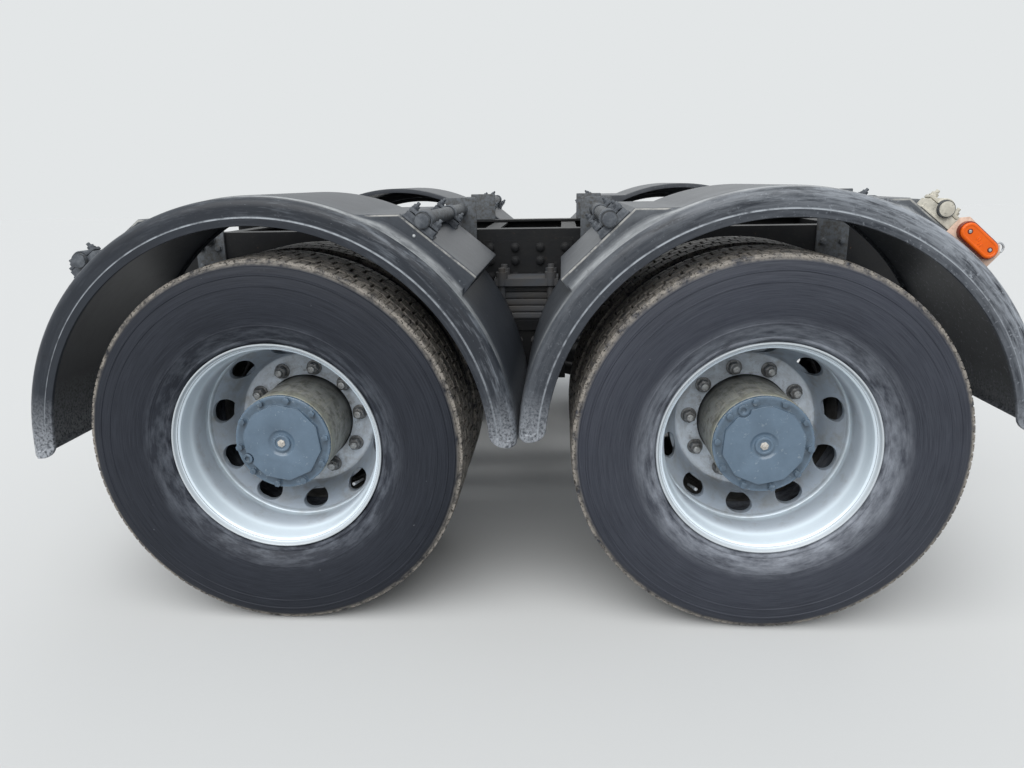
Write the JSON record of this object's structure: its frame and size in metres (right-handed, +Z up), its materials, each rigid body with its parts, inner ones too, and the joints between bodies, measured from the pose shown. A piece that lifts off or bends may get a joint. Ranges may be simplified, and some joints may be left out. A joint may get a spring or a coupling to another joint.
{
  "type": "tandem drive-axle bogie",
  "caption": "Lorry's tandem drive-axle bogie: twin disc wheels on hub-reduction axles, leaf springs on a trunnion, a frame section, and half-round mudguards on tubes.",
  "frame": {"origin": "on the ground, midway between the axles and on the lorry's centre plane", "axes": "+X forward along the lorry, +Y to its left, +Z up"},
  "size_m": [2.8, 2.5, 1.2175],
  "materials": {
    "tyre_rubber": "worn black tyre rubber with road dust",
    "silver_paint": "silver wheel paint, dusty",
    "hub_paint": "grey paint under olive brake dust",
    "cap_paint": "blue-grey enamel",
    "chassis_paint": "dark grey chassis paint with dirt",
    "axle_paint": "dark grey axle paint with road dirt",
    "spring_steel": "painted spring steel, rusty at the edges",
    "bracket_steel": "dark grey coated steel with dust",
    "guard_plastic": "dark blue-grey moulded plastic, scuffed and dusty",
    "amber_lens": "moulded amber lens"
  },
  "bodies": {
    "chassis": {"frame_rail_left": "chassis_paint", "frame_rail_right": "chassis_paint", "cross_members": "chassis_paint", "trunnion_brackets": "chassis_paint", "trunnion_shaft": "chassis_paint", "spring_saddles": "chassis_paint", "leaf_springs": "spring_steel", "spring_clamps": "spring_steel", "torque_rods": "chassis_paint", "axle_front": "axle_paint", "axle_rear": "axle_paint", "prop_shaft": "chassis_paint", "brake_chambers": "chassis_paint", "guard_arms": "bracket_steel", "guard_clamps": "guard_plastic", "mudguard_front_left": "guard_plastic", "mudguard_front_right": "guard_plastic", "mudguard_rear_left": "guard_plastic", "mudguard_rear_right": "guard_plastic", "lamp_brackets": "bracket_steel", "marker_lamps": "amber_lens"},
    "wheel_rear_right": {"tyre_outer_rear_right": "tyre_rubber", "tyre_inner_rear_right": "tyre_rubber", "rim_outer_rear_right": "silver_paint", "rim_inner_rear_right": "silver_paint", "hub_rear_right": "hub_paint", "hub_cap_rear_right": "cap_paint"},
    "wheel_rear_left": {"tyre_outer_rear_left": "tyre_rubber", "tyre_inner_rear_left": "tyre_rubber", "rim_outer_rear_left": "silver_paint", "rim_inner_rear_left": "silver_paint", "hub_rear_left": "hub_paint", "hub_cap_rear_left": "cap_paint"},
    "wheel_front_right": {"tyre_outer_front_right": "tyre_rubber", "tyre_inner_front_right": "tyre_rubber", "rim_outer_front_right": "silver_paint", "rim_inner_front_right": "silver_paint", "hub_front_right": "hub_paint", "hub_cap_front_right": "cap_paint"},
    "wheel_front_left": {"tyre_outer_front_left": "tyre_rubber", "tyre_inner_front_left": "tyre_rubber", "rim_outer_front_left": "silver_paint", "rim_inner_front_left": "silver_paint", "hub_front_left": "hub_paint", "hub_cap_front_left": "cap_paint"}
  },
  "joints": [
    {"name": "spin_rear_right", "type": "hinge", "parent": "chassis", "child": "wheel_rear_right", "pos_m": [-0.675, -0.913, 0.53], "axis": [0, 1, 0], "continuous": true},
    {"name": "spin_rear_left", "type": "hinge", "parent": "chassis", "child": "wheel_rear_left", "pos_m": [-0.675, 0.913, 0.53], "axis": [0, 1, 0], "continuous": true},
    {"name": "spin_front_right", "type": "hinge", "parent": "chassis", "child": "wheel_front_right", "pos_m": [0.675, -0.913, 0.53], "axis": [0, 1, 0], "continuous": true},
    {"name": "spin_front_left", "type": "hinge", "parent": "chassis", "child": "wheel_front_left", "pos_m": [0.675, 0.913, 0.53], "axis": [0, 1, 0], "continuous": true}
  ]
}
